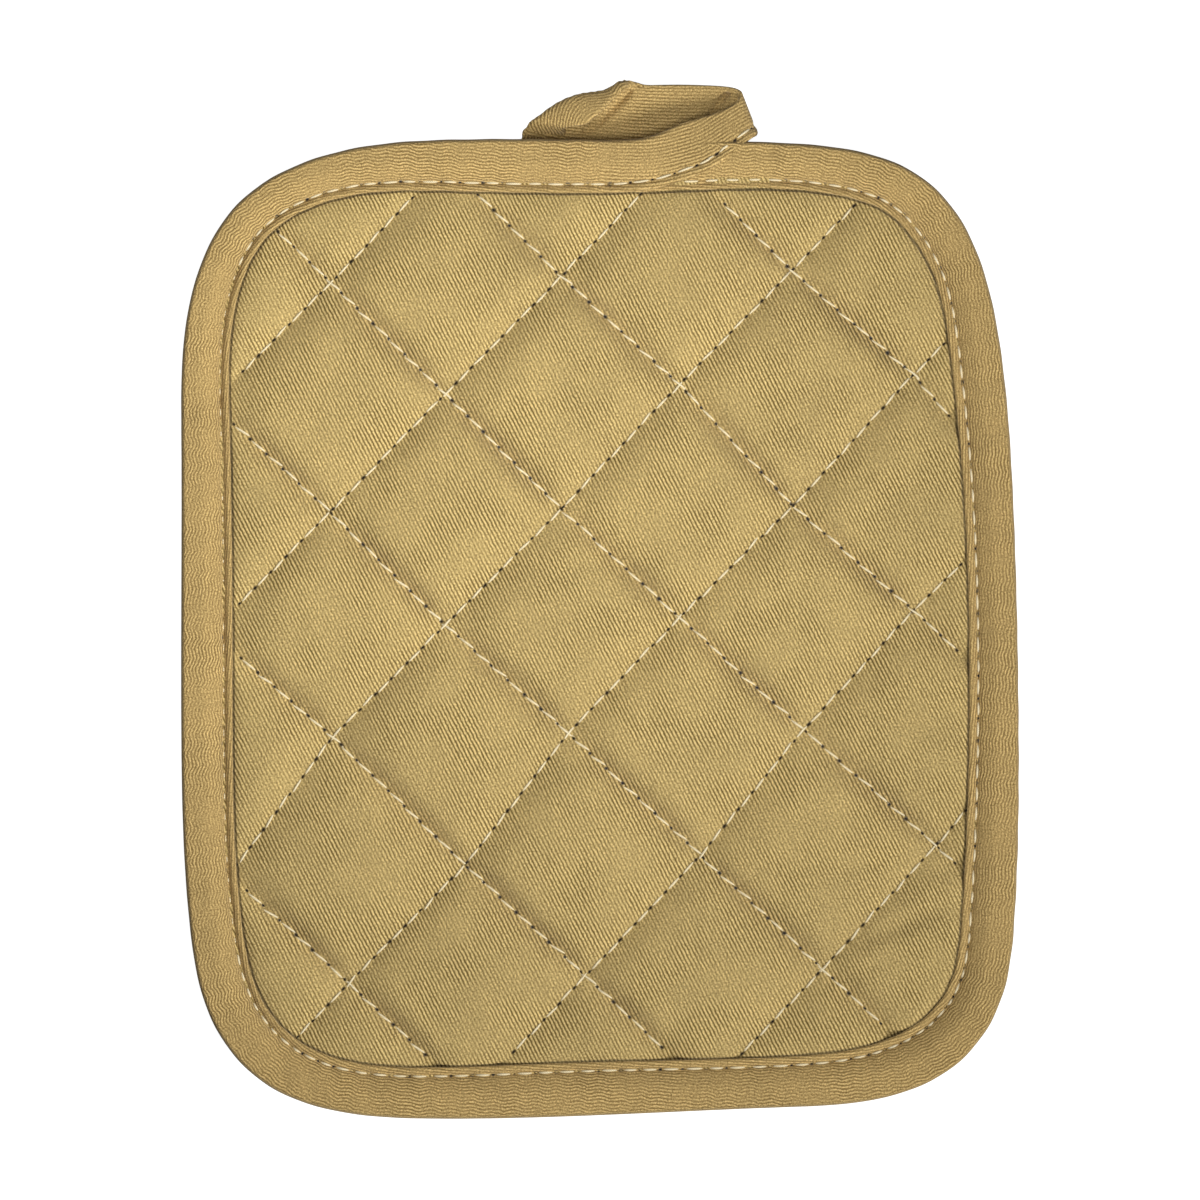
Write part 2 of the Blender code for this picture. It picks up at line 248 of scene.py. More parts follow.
def edge_line(stations):
    """The tape's fold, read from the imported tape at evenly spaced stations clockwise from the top: x and y,
    the directions inward, how far the tape reaches in, and how far each station lies along the fold."""
    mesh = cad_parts["edge_binding"].data
    ring = np.empty(len(mesh.vertices) * 3)
    mesh.vertices.foreach_get("co", ring)
    ring = np.unique(np.round(ring.reshape(-1, 3) / MM, 3), axis=0)
    fold = ring[np.abs(ring[:, 2] - MIDDLE) < FOLD_SLACK][:, :2]
    fold = fold[np.argsort(np.arctan2(fold[:, 0], fold[:, 1]) % (2 * np.pi))]
    inner = ring[np.abs(ring[:, 2] - MIDDLE - SEAM_HALF - GAP) < INNER_SLACK][:, :2]
    ahead = np.roll(fold, -1, axis=0) - np.roll(fold, 1, axis=0)
    ahead /= np.linalg.norm(ahead, axis=1)[:, None]
    offset = inner[None] - fold[:, None]
    depth = offset[:, :, 0] * ahead[:, 1:] - offset[:, :, 1] * ahead[:, :1]
    beside = np.abs((offset * ahead[:, None]).sum(axis=2))
    beside[(depth < REACH_RANGE[0]) | (depth > REACH_RANGE[1])] = np.inf
    reach = depth[np.arange(len(fold)), beside.argmin(axis=1)]
    waves = np.fft.fft(fold[:, 0] + 1j * fold[:, 1])
    half = len(fold) // 2
    padded = np.zeros(stations, complex)
    padded[:half] = waves[:half]
    padded[-half:] = waves[-half:]
    line = np.fft.ifft(padded) * stations / len(fold)
    points = np.column_stack([line.real, line.imag])
    reach = np.interp(
        np.arange(stations) * len(fold) / stations, np.arange(len(fold) + 1), np.append(reach, reach[0])
    )
    ahead = np.roll(points, -1, axis=0) - np.roll(points, 1, axis=0)
    length = np.linalg.norm(ahead, axis=1)
    ahead /= length[:, None]
    travelled = np.concatenate([[0], np.cumsum(length / 2)])
    return points, np.column_stack([ahead[:, 1], -ahead[:, 0]]), reach, travelled


def crossing(column, line):
    """Where the quilting rows cross: the line's number from the top, and half pitches right of its middle."""
    table = np.array(CROSSINGS)
    row = np.clip(line - CROSSINGS[0][0], 0, len(table) - 1)
    past = line - CROSSINGS[0][0] - row
    along = column * table[row, 3] / 2
    y = table[row, 2] - past * LINE_STEP + along * table[row, 4]
    return np.stack([table[row, 1] + along, y], axis=-1)


def quilt_place(across, down):
    """The place of quilting coordinates, which are whole numbers on the quilting rows of either slant."""
    left = np.floor(across).astype(int)
    top = np.floor(down).astype(int)
    share = (across - left)[..., None]
    near, far = (
        crossing(left - below, left + below) * (1 - share)
        + crossing(left + 1 - below, left + 1 + below) * share
        for below in (top, top + 1)
    )
    share = (down - top)[..., None]
    return near * (1 - share) + far * share


def stitch_counts(rising, pitch):
    """How many stitches lie before each crossing of each row of one slant, rising to the right or falling."""
    row, along = np.meshgrid(ROW_NUMBERS, ROW_NUMBERS, indexing="ij")
    across, down = (row, along) if rising else (along, row)
    knots = crossing(across - down, across + down)
    steps = np.linalg.norm(np.diff(knots, axis=1), axis=2)
    start = (row[:, :1] * ROW_SHIFT) % 1
    return start + np.concatenate([np.zeros_like(steps[:, :1]), np.cumsum(steps, axis=1)], axis=1) / pitch


def stitches_near(across, down, rising, pitch):
    """For each place, the stitch count along the nearest row of one slant and the distance from that row."""
    over, along = (across, down) if rising else (down, across)
    row = np.floor(over + 0.5)
    before = np.floor(along)
    counts = stitch_counts(rising, pitch)
    at = (row - FIRST_ROW).astype(int).clip(0, len(counts) - 1)
    step = (before - FIRST_ROW).astype(int).clip(0, len(counts) - 2)
    count = counts[at, step] + (counts[at, step + 1] - counts[at, step]) * (along - before)
    return count, np.abs(over - row) * DIAMOND_SIDE


def depth_inside_tape(places, edge):
    """How far each place lies in from the tape's fold, and in from its inner edge."""
    points, inward, reach, _ = edge
    tree = KDTree(len(points))
    for number, (x, y) in enumerate(points):
        tree.insert((x, y, 0), number)
    tree.balance()
    nearest = np.array([tree.find((x, y, 0))[1] for x, y in places])
    depth = ((places - points[nearest]) * inward[nearest]).sum(axis=1)
    return depth, depth - reach[nearest]


SHARP_ANGLE = math.radians(60)  # between faces that stay sharp
SEWN_REACH = 1e-4  # between edges of one sheet that are joined


def to_mesh(name, bm):
    """Puts a finished bmesh, in mm, into the scene as one smooth object in metres."""
    bmesh.ops.recalc_face_normals(bm, faces=bm.faces)
    bmesh.ops.scale(bm, vec=Vector((MM, MM, MM)), verts=bm.verts)
    mesh = bpy.data.meshes.new(name)
    bm.to_mesh(mesh)
    bm.free()
    mesh.shade_smooth()
    mesh.set_sharp_from_angle(angle=SHARP_ANGLE)
    obj = bpy.data.objects.new(name, mesh)
    bpy.context.scene.collection.objects.link(obj)
    return obj


def cloth_sheet(name, places, along, across, from_row, pitch):
    """A sheet of tape over a grid of places. Edges that meet are sewn together. One UV map holds millimetres
    along and across the cloth, the other stitch counts and millimetres from the sewn row."""
    rows, columns = places.shape[:2]
    bm = bmesh.new()
    cloth_map = bm.loops.layers.uv.new("cloth")
    row_map = bm.loops.layers.uv.new("sewn_row")
    bmesh.ops.create_grid(bm, x_segments=rows - 1, y_segments=columns - 1, size=1.0)
    grid = np.array([vert.co[:2] for vert in bm.verts])
    grid = (grid - grid.min(axis=0)) / (grid.max(axis=0) - grid.min(axis=0))
    at = np.rint(grid * (rows - 1, columns - 1)).astype(int)
    row, column = at[:, 0], at[:, 1]
    cloth = np.column_stack([along[row, column], across[row, column]])
    sewn = np.column_stack([along[row, column] / pitch, from_row[row, column]])
    for vert, place in zip(bm.verts, places[row, column]):
        vert.co = place
    bm.verts.index_update()
    for face in bm.faces:
        for loop in face.loops:
            loop[cloth_map].uv = cloth[loop.vert.index]
            loop[row_map].uv = sewn[loop.vert.index]
    bmesh.ops.remove_doubles(bm, verts=bm.verts, dist=SEWN_REACH)
    return to_mesh(name, bm)


def cloth_trees(*names):
    """Lookups of these finished pieces' surfaces, in metres."""
    graph = bpy.context.evaluated_depsgraph_get()
    return [BVHTree.FromObject(bpy.data.objects[name], graph) for name in names]


def drop_on(trees, places, below=False):
    """The outermost cloth's height at these x, y places, from above or from below, in mm."""
    side = -1.0 if below else 1.0
    heights = []
    for x, y in places:
        hits = [tree.ray_cast(Vector((x * MM, y * MM, side)), Vector((0, 0, -side)))[0] for tree in trees]
        heights.append(max([side * hit.z / MM for hit in hits if hit], default=side * MIDDLE) * side)
    return np.array(heights)


# Materials


def add_node(tree, kind, inputs=(), **settings):
    """Adds a node with these settings. An input is a value, a socket to link, or a node whose first output is
    linked."""
    node = tree.nodes.new(kind)
    for name, value in settings.items():
        setattr(node, name, value)
    for name, value in dict(inputs).items():
        value = value.outputs[0] if isinstance(value, bpy.types.Node) else value
        if isinstance(value, bpy.types.NodeSocket):
            tree.links.new(value, node.inputs[name])
        else:
            node.inputs[name].default_value = value
    return node


def new_material(name):
    material = bpy.data.materials.new(name)
    material.use_nodes = True
    tree = material.node_tree
    tree.nodes.clear()
    return material, tree


def material_called(name, make):
    """The material of this name, which is made the first time that it is asked for."""
    return bpy.data.materials.get(name) or make(name)


WAVE_PERIOD = 2 * math.pi / 20  # of Blender's wave texture at scale 1
YARN_TURN = math.radians(27)  # from the ribs to the yarns
BANDS = {"wave_type": "BANDS", "bands_direction": "X", "wave_profile": "SIN"}


def twill(tree, cloth, rib, yarn, turn, relief, wander):
    """The weave's height from 0 to 1, from coordinates in mm: ribs this far apart, turned by this much and
    broken into single yarns 27 degrees from them, with the fuzz of cotton over them. The ribs stand out by a
    share called relief, less so in patches, and wander from their lines."""
    turned = add_node(tree, "ShaderNodeMapping", {"Vector": cloth, "Rotation": (0, 0, turn)})
    ribs = add_node(
        tree,
        "ShaderNodeTexWave",
        {
            "Vector": turned,
            "Scale": WAVE_PERIOD / rib,
            "Distortion": wander,
            "Detail": 3.0,
            "Detail Scale": 1.8,
            "Detail Roughness": 0.65,
        },
        **BANDS,
    )
    patches = add_node(tree, "ShaderNodeTexNoise", {"Vector": cloth, "Scale": 0.09, "Detail": 3.0})
    patches = add_node(
        tree, "ShaderNodeMapRange", {0: patches.outputs["Fac"], 1: 0.36, 2: 0.6, 3: relief * 0.35, 4: relief}
    )
    ribs = add_node(tree, "ShaderNodeMath", {0: ribs.outputs["Fac"], 1: 0.5}, operation="SUBTRACT")
    ribs = add_node(tree, "ShaderNodeMath", {0: ribs, 1: patches, 2: 0.5}, operation="MULTIPLY_ADD")
    yarns_turned = add_node(
        tree, "ShaderNodeMapping", {"Vector": cloth, "Rotation": (0, 0, turn + YARN_TURN)}
    )
    yarns = add_node(
        tree,
        "ShaderNodeTexWave",
        {
            "Vector": yarns_turned,
            "Scale": WAVE_PERIOD / yarn,
            "Distortion": 0.8,
            "Detail Scale": 1.0,
        },
        **BANDS,
    )
    fuzz = add_node(
        tree, "ShaderNodeTexNoise", {"Vector": cloth, "Scale": 2.6, "Detail": 3.0, "Roughness": 0.8}
    )
    fuzz = add_node(tree, "ShaderNodeMapRange", {0: fuzz.outputs["Fac"], 1: 0.34, 2: 0.66, 3: 0.1, 4: 1.1})
    share = add_node(
        tree, "ShaderNodeMath", {0: yarns.outputs["Fac"], 1: 0.35, 2: 0.65}, operation="MULTIPLY_ADD"
    )
    weave = add_node(tree, "ShaderNodeMath", {0: ribs, 1: share}, operation="MULTIPLY")
    weave = add_node(tree, "ShaderNodeMath", {0: weave, 1: fuzz}, operation="MULTIPLY")
    return weave


def needle_holes(tree, uv_name, pitch, stretch, least):
    """1 inside a needle hole and 0 outside, from a UV map of stitch counts and distances from the row in mm.
    The thread's pull stretches the holes along the row, some more than others, and the least is this wide in
    mm."""
    uv = add_node(tree, "ShaderNodeUVMap", uv_map=uv_name)
    parts = add_node(tree, "ShaderNodeSeparateXYZ", {0: uv})
    number = add_node(tree, "ShaderNodeMath", {0: parts}, operation="ROUND")
    chance = add_node(tree, "ShaderNodeTexWhiteNoise", {"W": number}, noise_dimensions="1D")
    along = add_node(tree, "ShaderNodeMath", {0: parts, 1: 0.5}, operation="PINGPONG")
    along = add_node(tree, "ShaderNodeMath", {0: along, 1: pitch / stretch}, operation="MULTIPLY")
    place = add_node(tree, "ShaderNodeCombineXYZ", {0: along, 1: parts.outputs[1]})
    distance = add_node(tree, "ShaderNodeVectorMath", {0: place}, operation="LENGTH")
    size = add_node(
        tree, "ShaderNodeMath", {0: chance.outputs["Value"], 1: 0.25, 2: least}, operation="MULTIPLY_ADD"
    )
    return add_node(
        tree,
        "ShaderNodeMapRange",
        {0: distance.outputs["Value"], 1: size, 2: 0.1, 3: 0.0, 4: 1.0},
        interpolation_type="SMOOTHSTEP",
    )


def finish_cloth(material, tree, weave, holes, gap, rib):
    """Colours and roughens a twill from its weave's height and its needle holes, and adds its relief. The
    colour paints shade into the gaps between the ribs and into the holes.
    """
    place = add_node(tree, "ShaderNodeTexCoord")
    patches = add_node(
        tree,
        "ShaderNodeTexNoise",
        {"Vector": place.outputs["Object"], "Scale": 60.0, "Detail": 3.0, "Roughness": 0.6},
    )
    slubs = add_node(
        tree, "ShaderNodeMapping", {"Vector": place.outputs["Object"], "Scale": (2400.0, 160.0, 160.0)}
    )
    slubs = add_node(tree, "ShaderNodeTexNoise", {"Vector": slubs, "Scale": 1.0, "Detail": 2.0})
    uneven = add_node(
        tree, "ShaderNodeMath", {0: patches.outputs["Fac"], 1: 0.35, 2: 0.8}, operation="MULTIPLY_ADD"
    )
    uneven = add_node(
        tree,
        "ShaderNodeMath",
        {0: slubs.outputs["Fac"], 1: 0.25, 2: uneven},
        operation="MULTIPLY_ADD",
    )
    # Painted shade: the ramp from the dark gap colour to the rib colour stands for the shade between the
    # ribs.
    ramp = add_node(tree, "ShaderNodeValToRGB", {"Fac": weave})
    ramp.color_ramp.elements[0].color = gap
    ramp.color_ramp.elements[1].color = rib
    ramp.color_ramp.elements[1].position = 0.6
    colour = add_node(
        tree,
        "ShaderNodeMix",
        {0: 1.0, 6: ramp.outputs["Color"], 7: uneven},
        data_type="RGBA",
        blend_type="MULTIPLY",
    )
    # Painted shade: the needle holes, and on the pad the gap at the tape's inner edge, are coloured near
    # black.
    shaded_colour = add_node(
        tree, "ShaderNodeMix", {0: holes, 6: colour.outputs[2], 7: srgb("#1E160A")}, data_type="RGBA"
    )
    depth = add_node(tree, "ShaderNodeMath", {0: holes, 1: -3.0, 2: weave}, operation="MULTIPLY_ADD")
    bump = add_node(tree, "ShaderNodeBump", {"Strength": 0.8, "Distance": 0.15 * MM, "Height": depth})
    shader = add_node(
        tree,
        "ShaderNodeBsdfPrincipled",
        {
            "Base Color": shaded_colour.outputs[2],
            "Roughness": 0.9,
            "IOR": 1.46,
            "Specular IOR Level": 0.25,
            "Sheen Weight": 0.12,
            "Sheen Roughness": 0.5,
            "Normal": bump,
        },
    )
    add_node(tree, "ShaderNodeOutputMaterial", {"Surface": shader})
    return material


def pad_twill(name):
    """Cotton drill, woven and dyed: a matt face of steep broken ribs, lighter between dark gaps whose dark is
    painted shade.
    It is painted dark, as shade, in the gap where the tape's inner edge meets it, and in its needle holes."""
    material, tree = new_material(name)
    settings = bpy.context.scene.pot_holder
    place = add_node(tree, "ShaderNodeTexCoord")
    cloth = add_node(tree, "ShaderNodeMapping", {"Vector": place.outputs["Object"], "Scale": (1000, 1000, 0)})
    weave = twill(tree, cloth, rib=0.8, yarn=0.23, turn=math.radians(-27), relief=0.95, wander=2.2)
    pitch = settings.sewing.quilting_pitch / MM
    # Painted shade: the needle holes of both slants are coloured near black in finish_cloth.
    rising = needle_holes(tree, "rising_rows", pitch, 1.9, 0.33)
    falling = needle_holes(tree, "falling_rows", pitch, 1.4, 0.32)
    holes = add_node(tree, "ShaderNodeMath", {0: rising, 1: falling}, operation="MAXIMUM")
    from_tape = add_node(tree, "ShaderNodeUVMap", uv_map="from_tape")
    from_tape = add_node(tree, "ShaderNodeSeparateXYZ", {0: from_tape})
    from_gap = add_node(tree, "ShaderNodeMath", {0: from_tape, 1: 0.1}, operation="SUBTRACT")
    from_gap = add_node(tree, "ShaderNodeMath", {0: from_gap}, operation="ABSOLUTE")
    # Painted shade: a dark line along the gap at the tape's inner edge, where the light does not reach.
    gap_shade = add_node(
        tree,
        "ShaderNodeMapRange",
        {0: from_gap, 1: 0.45, 2: 0.1, 3: 0.0, 4: 0.65},
        interpolation_type="SMOOTHSTEP",
    )
    # From here the mask holds the needle holes and the painted shade in that gap.
    holes = add_node(tree, "ShaderNodeMath", {0: holes, 1: gap_shade}, operation="MAXIMUM")
    pad = settings.pad
    return finish_cloth(material, tree, weave, holes, pad.shaded_gap_colour, pad.rib_colour)


def tape_twill(name):
    """The same drill cut on the bias and folded to tape, so that its ribs run almost along it. They lie on
    the cloth's own map, because they follow it round the fold."""
    material, tree = new_material(name)
    settings = bpy.context.scene.pot_holder
    uv = add_node(tree, "ShaderNodeUVMap", uv_map="cloth")
    weave = twill(tree, uv, rib=0.74, yarn=0.23, turn=math.radians(-84), relief=0.7, wander=2.6)
    # Painted shade: the needle holes along the sewn row are coloured near black in finish_cloth.
    holes = needle_holes(tree, "sewn_row", settings.sewing.edge_pitch / MM, 1.6, 0.22)
    return finish_cloth(material, tree, weave, holes, settings.tape.shaded_gap_colour, settings.tape.rib_colour)


def sewing_thread(name):
    """Spun cotton-polyester thread of three twisted plies: pale, with a faint sheen and a ropy relief."""
    material, tree = new_material(name)
    colour = bpy.context.scene.pot_holder.sewing.colour
    uv = add_node(tree, "ShaderNodeUVMap", uv_map="thread")
    turned = add_node(tree, "ShaderNodeMapping", {"Vector": uv, "Rotation": (0, 0, math.radians(35))})
    plies = add_node(
        tree,
        "ShaderNodeTexWave",
        {"Vector": turned, "Scale": WAVE_PERIOD / 0.3, "Distortion": 0.5},
        bands_direction="X",
    )
    # Painted shade: the grooves between the plies are coloured half as bright as the thread.
    ramp = add_node(tree, "ShaderNodeValToRGB", {"Fac": plies.outputs["Fac"]})
    ramp.color_ramp.elements[0].color = [part * 0.5 for part in colour[:3]] + [1.0]
    ramp.color_ramp.elements[1].color = colour
    bump = add_node(
        tree, "ShaderNodeBump", {"Strength": 0.6, "Distance": 0.06 * MM, "Height": plies.outputs["Fac"]}
    )
    shader = add_node(
        tree,
        "ShaderNodeBsdfPrincipled",
        {
            "Base Color": ramp.outputs["Color"],
            "Roughness": 0.7,
            "IOR": 1.5,
            "Sheen Weight": 0.2,
            "Normal": bump,
        },
    )
    add_node(tree, "ShaderNodeOutputMaterial", {"Surface": shader})
    return material


def table_top(name):
    """An opal plastic light table: matt, and lit from below to a plain white as far as the camera sees it."""
    material, tree = new_material(name)
    seen = add_node(tree, "ShaderNodeLightPath")
    shader = add_node(
        tree,
        "ShaderNodeBsdfPrincipled",
        {
            "Base Color": srgb("#B0B0B0"),
            "Roughness": 0.85,
            "Specular IOR Level": 0.1,
            "Emission Color": (1, 1, 1, 1),
            "Emission Strength": seen.outputs["Is Camera Ray"],
        },
    )
    add_node(tree, "ShaderNodeOutputMaterial", {"Surface": shader})
    return material


# Pieces


ROW_HALF = 0.6  # half the pad's thickness under the lowest stitches
EDGE_DROP = 0.42  # how much of a pillow's swell is lost at the tape
RISING_DROP = 0.7  # and on a row that rises to the right
FALLING_DROP = 1.0  # and on a row that falls to the right, which is sewn more tightly
VALLEY_POWER = 1.5  # how round the pillows are beside a row
VALLEY_UNEVEN = 0.25  # the share by which the valleys' width changes from place to place
PUCKER_HALF = 0.9  # a pucker's half width across its row
PUCKER_RUN = 2.5  # and how far its faint outer part runs
LUMPS = ((0.35, 16, 1.5), (0.16, 6, 7.5))  # the filling's unevenness: height, size and seed
HIDDEN_RIM = 0.3  # of the pad's rim past its own edge that is cut off inside the tape
CROWDING = 0.4  # how much denser the mesh is beside the quilting rows


def crease_relief(places, creases):
    """How far these listed creases press the cloth down at these places."""
    relief = np.zeros(len(places))
    for start_x, start_y, end_x, end_y, width, depth in creases:
        start = np.array([start_x, start_y])
        run = np.array([end_x, end_y]) - start
        share = np.clip((places - start) @ run / (run @ run), 0, 1)
        away = np.linalg.norm(places - start - share[:, None] * run, axis=1)
        fade = np.sin(np.pi * np.clip(share, 0.08, 0.92)) ** 0.5
        relief -= depth * fade * np.exp(-((away / width) ** 2))
    return relief


def pad_surface(across, down, places, depth, settings, sewing):
    """Heights of the pad's front and back face above and below its middle at these quilting coordinates.
    Each slant of rows lowers the pillows beside it, and its stitches pucker the cloth most at their holes."""
    swell = 1 - EDGE_DROP * np.exp(-np.clip(depth, 0, None) / (settings.edge_run / MM))
    at_edge = 1 - 0.4 * np.exp(-np.clip(depth, 0, None) / 3.0)
    pucker = np.zeros(len(places))
    uneven = 1 + VALLEY_UNEVEN * soft_noise(places, 11, 4.5)
    for rising, drop, valley in (
        (True, RISING_DROP, settings.rising_valley),
        (False, FALLING_DROP, settings.falling_valley),
    ):
        count, away = stitches_near(across, down, rising, sewing.quilting_pitch / MM)
        swell *= 1 - drop * at_edge * np.exp(-(away / (valley / MM) / uneven) ** VALLEY_POWER)
        pull = 0.5 + 0.5 * np.cos(2 * np.pi * count)
        pucker -= settings.pucker / MM * (
            (0.55 + 0.45 * pull ** 3) * np.exp(-((away / PUCKER_HALF) ** 2))
            + 0.5 * pull * np.exp(-away / PUCKER_RUN)
        )
    lumps = sum(height * soft_noise(places, size, seed) for height, size, seed in LUMPS)
    front = ROW_HALF + settings.loft / MM * swell + pucker
    front += (lumps + crease_relief(places, CREASES)) * np.clip(swell * 1.6, 0, 1)
    back = ROW_HALF + settings.pressed_loft / MM * swell + pucker
    covered = smooth_step((0.6 - depth) / 1.0)
    inside = np.minimum(SEAM_HALF + 0.5, SEAM_HALF + 0.25 * np.clip(depth + 5, 0, None))
    return [face * (1 - covered) + np.minimum(face, inside) * covered for face in (front, back)]


def make_pad(settings, sewing, edge):
    """The pad's two faces over the quilting's lattice, with its rim inside the tape."""
    divisions = settings.divisions
    rows = LAST_ROW - FIRST_ROW - 2
    bm = bmesh.new()
    quilting_layer = bm.verts.layers.float_vector.new("quilting")
    rising_map = bm.loops.layers.uv.new("rising_rows")
    falling_map = bm.loops.layers.uv.new("falling_rows")
    tape_map = bm.loops.layers.uv.new("from_tape")
    bmesh.ops.create_grid(bm, x_segments=rows * divisions, y_segments=rows * divisions, size=1.0)
    grid = np.array([vert.co[:2] for vert in bm.verts])
    grid = (grid - grid.min(axis=0)) / (grid.max(axis=0) - grid.min(axis=0))
    whole = np.rint(grid * rows * divisions) / divisions
    part = whole % 1
    crowded = np.floor(whole) + part - CROWDING * np.sin(2 * np.pi * part) / (2 * np.pi)
    quilting = crowded + FIRST_ROW + 1
    places = quilt_place(quilting[:, 0], quilting[:, 1])
    from_fold, _ = depth_inside_tape(places, edge)
    outside = from_fold < FOLD_WALL + GAP + HIDDEN_RIM
    for vert, (across, down), (x, y), hidden in zip(bm.verts, quilting, places, outside):
        vert.co = (x, y, 0)
        vert[quilting_layer] = (across, down, 0)
        vert.select = bool(hidden)
    bmesh.ops.delete(bm, geom=[vert for vert in bm.verts if vert.select], context="VERTS")
    loose = [vert for vert in bm.verts if not vert.link_faces]
    bmesh.ops.delete(bm, geom=loose, context="VERTS")
    front = bmesh.ops.extrude_face_region(bm, geom=bm.faces[:])["geom"]
    front = {item for item in front if isinstance(item, bmesh.types.BMVert)}
    verts = bm.verts[:]
    quilting = np.array([vert[quilting_layer] for vert in verts])
    places = np.array([vert.co[:2] for vert in verts])
    _, depth = depth_inside_tape(places, edge)
    top, bottom = pad_surface(quilting[:, 0], quilting[:, 1], places, depth, settings, sewing)
    for vert, above, below in zip(verts, top, bottom):
        vert.co.z = MIDDLE + above if vert in front else max(MIDDLE - below, 0.0)
    bm.verts.index_update()
    pitch = sewing.quilting_pitch / MM
    rising = np.column_stack(stitches_near(quilting[:, 0], quilting[:, 1], True, pitch))
    falling = np.column_stack(stitches_near(quilting[:, 0], quilting[:, 1], False, pitch))
    for face in bm.faces:
        for loop in face.loops:
            loop[rising_map].uv = rising[loop.vert.index]
            loop[falling_map].uv = falling[loop.vert.index]
            loop[tape_map].uv = (depth[loop.vert.index], 0)
    return to_mesh("quilted_cloth_pad", bm)


FACE_SAMPLES = np.array([
    0.0, 0.03, 0.12, 0.3, 0.55, 0.85, 1.15, 1.4, 1.6, 1.8, 2.0, 2.2, 2.4, 2.7, 3.1, 3.6, 4.2
])
FOLD_SAMPLES = 14
PUFF_RUN = 4.6  # how far from the sewing the tape rises to its full height
PUFF_EVEN = 0.55  # the share of that way on which it rises evenly
LIP_PLACE = 0.6  # of the lip's crown, in from the inner edge, which is also its half width
ROW_HOLLOW = 0.55  # half width of the hollow along the sewing
LEFT_SIDE = -75  # where the row down the left side starts, which is sewn more tightly
PUCKERED_PLACE = (-50, -90)  # middle x and highest y of the stretch along the bottom that puckers most
EDGE_ROUND = 0.35  # radius of the tape's inner edge
FOLD_ROUND = 0.9  # and of its fold
FRONT_SEED = 2.5  # of the wrinkles on the tape's front face
BACK_SEED = 9.5  # and on its back


def tape_face(edge, settings, sewing, seed):
    """One face of the edge tape, from its inner edge to its fold at each station: distances in from the
    fold, heights above the pad's middle and distances from the inner edge."""
    points, _, reach, travelled = edge
    ply = settings.ply / MM
    inset = settings.sewing_inset / MM
    turns = np.sin(np.linspace(0, np.pi / 2, FOLD_SAMPLES + 1)[1:])
    first = FACE_SAMPLES[-1]
    away = np.concatenate([
        np.repeat(FACE_SAMPLES[None], len(reach), axis=0),
        first + (reach[:, None] - first) * turns[None],
    ], axis=1)
    travel = np.repeat(travelled[:-1, None], away.shape[1], axis=1)
    pull = 0.5 + 0.5 * np.cos(2 * np.pi * travel / (sewing.edge_pitch / MM))
    slanted = np.column_stack([(travel + 0.8 * away).ravel(), (away * 0.3).ravel()])
    wrinkles = soft_noise(slanted, 4.0, seed).reshape(away.shape)
    stretched = np.column_stack([travel.ravel(), away.ravel() * 0.5])
    swells = soft_noise(stretched, 14.0, seed + 3).reshape(away.shape)
    puckered = 1 + 1.2 * np.exp(-((points[:, 0] - PUCKERED_PLACE[0]) / 25) ** 2) * (
        points[:, 1] < PUCKERED_PLACE[1]
    )
    from_fold = reach[:, None] - away
    run = np.clip((away - inset) / PUFF_RUN, 0, 1)
    full = (run - np.clip(run - PUFF_EVEN, 0, None) ** 2 / 2 / (1 - PUFF_EVEN)) / (1 + PUFF_EVEN) * 2
    body = ply + settings.puff / MM * full
    body += settings.lip / MM * np.exp(-(((away - LIP_PLACE) / LIP_PLACE) ** 2))
    tight = 1 + 0.6 * smooth_step((LEFT_SIDE - points[:, :1]) / 10)
    dip = tight * (0.35 + 0.3 * pull) * np.exp(-(((away - inset) / ROW_HOLLOW) ** 2))
    dip += 0.15 * pull * np.exp(-np.abs(away - inset) / 2.0)
    relief = 0.17 * wrinkles * puckered[:, None] * smooth_step(away / 1.5) + 0.16 * swells
    inner = SEAM_HALF + GAP + 0.4 * (1 - smooth_step((away - 1.5) / 4))
    height = inner + (body - dip + relief) * quarter_round(away, EDGE_ROUND)
    height *= quarter_round(from_fold, FOLD_ROUND)
    return from_fold, height, away


def pressed(points, away, span):
    """How much flatter the edge tape is at these stations, if they are along the top and between these x."""
    share = smooth_step((points[:, 0] - span[0]) / 4) * smooth_step((span[1] - points[:, 0]) / 4)
    share *= points[:, 1] > 0
    across = (0.5 + 0.5 * smooth_step((away - 1.5) / 4)) * quarter_round(away[:, -1:] - away, 3.0)
    return PRESSED * share[:, None] * across


LINING_DEPTH = FOLD_WALL + 0.8  # of the tape's inner wall, in from the fold
LINING_INSET = 0.4  # from its inner edge to where that wall starts
UNSEWN = 9.0  # a distance from the sewn row at which there are no holes


